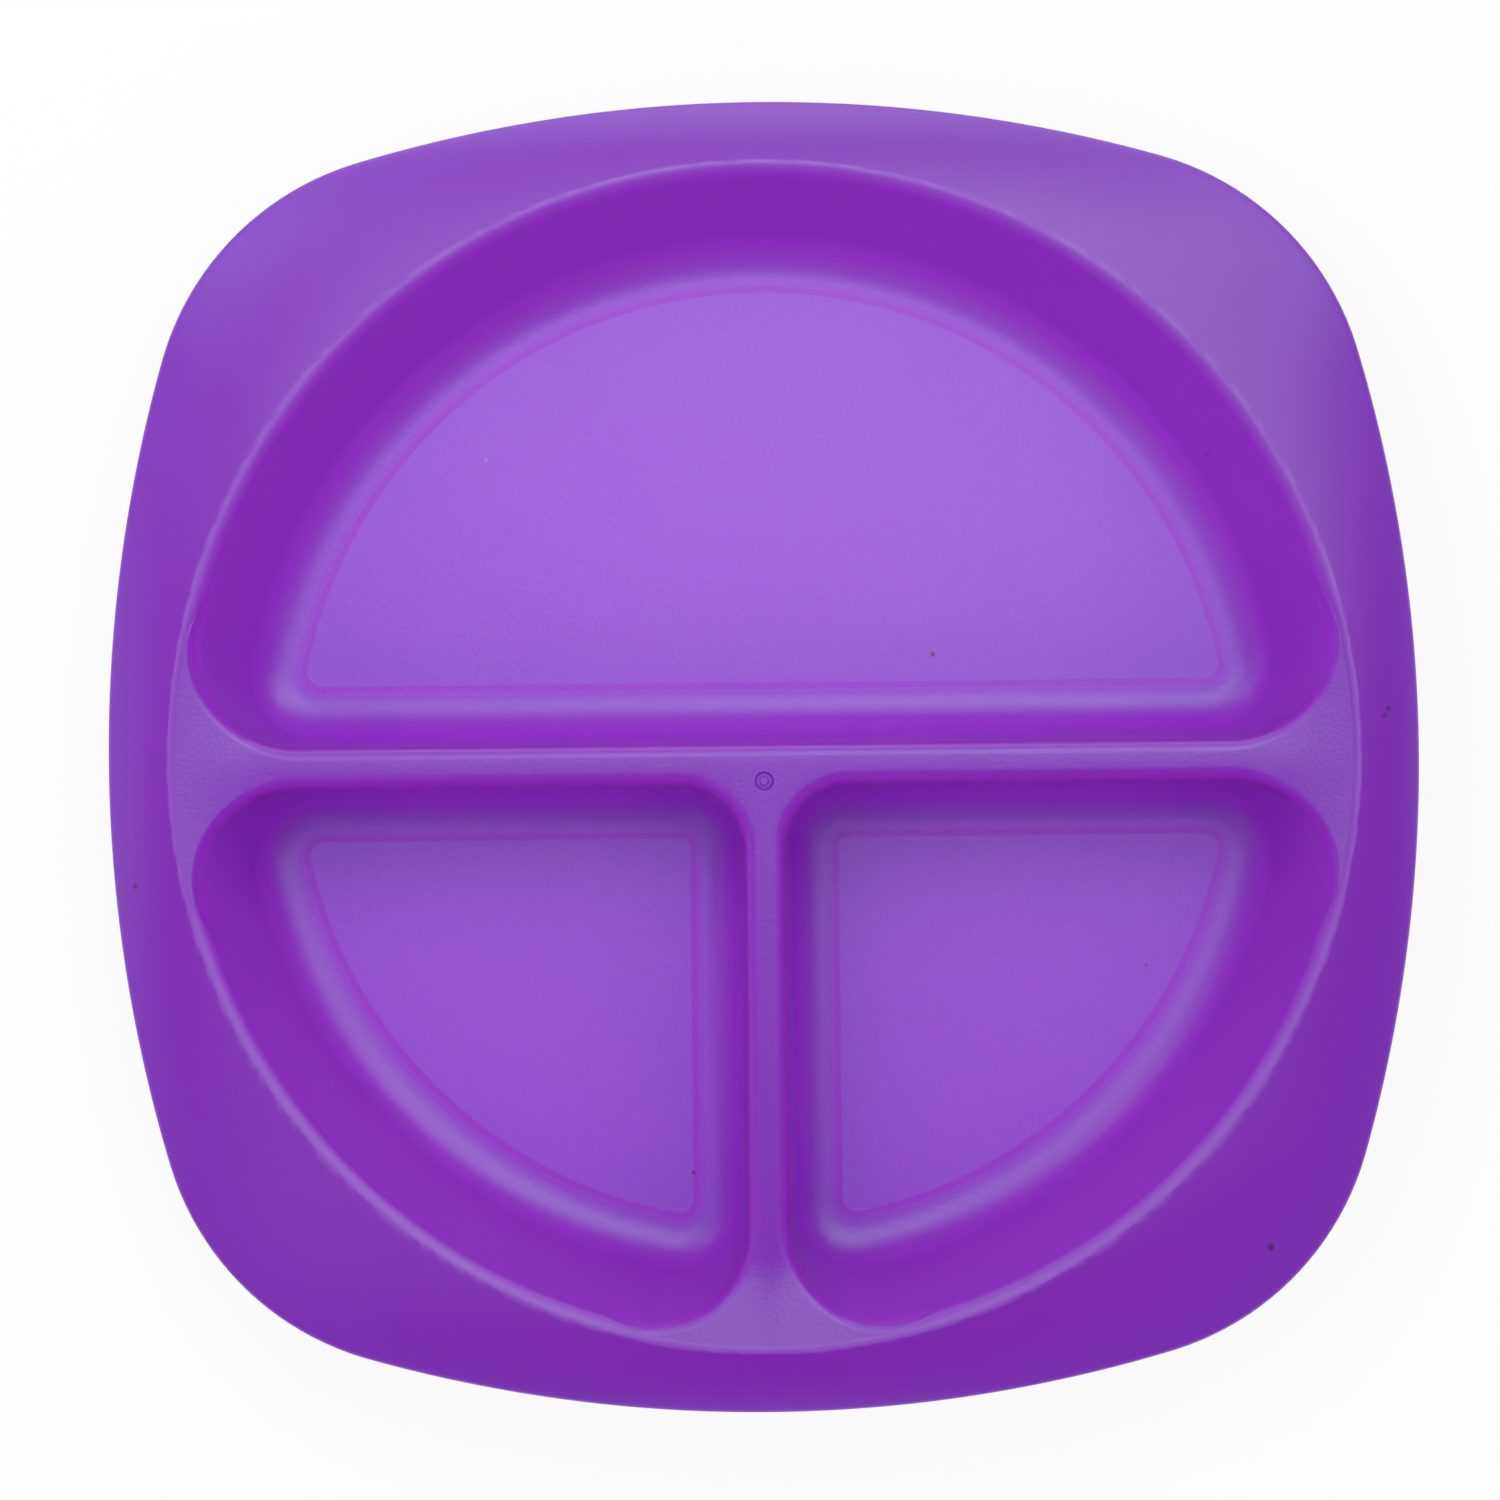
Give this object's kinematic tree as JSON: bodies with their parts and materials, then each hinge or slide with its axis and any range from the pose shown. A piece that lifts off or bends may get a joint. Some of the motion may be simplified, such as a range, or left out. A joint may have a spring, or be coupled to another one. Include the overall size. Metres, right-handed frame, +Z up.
{
  "type": "divided portion plate",
  "caption": "Rounded-square portion plate: a T-shaped divider parts its round bowl into a half-round compartment and quarter-round compartments for separate foods.",
  "frame": {"origin": "on the table, under the middle of the rounded-square rim", "axes": "+Z up, +Y from the middle towards the half-round compartment, +X to the right with the half-round compartment at the far side"},
  "size_m": [0.187, 0.187, 0.0318],
  "materials": {
    "purple_plastic": "satin, slightly translucent, fine matt grain on floors and divider"
  },
  "bodies": {
    "root": {"plate": "purple_plastic"}
  },
  "joints": []
}
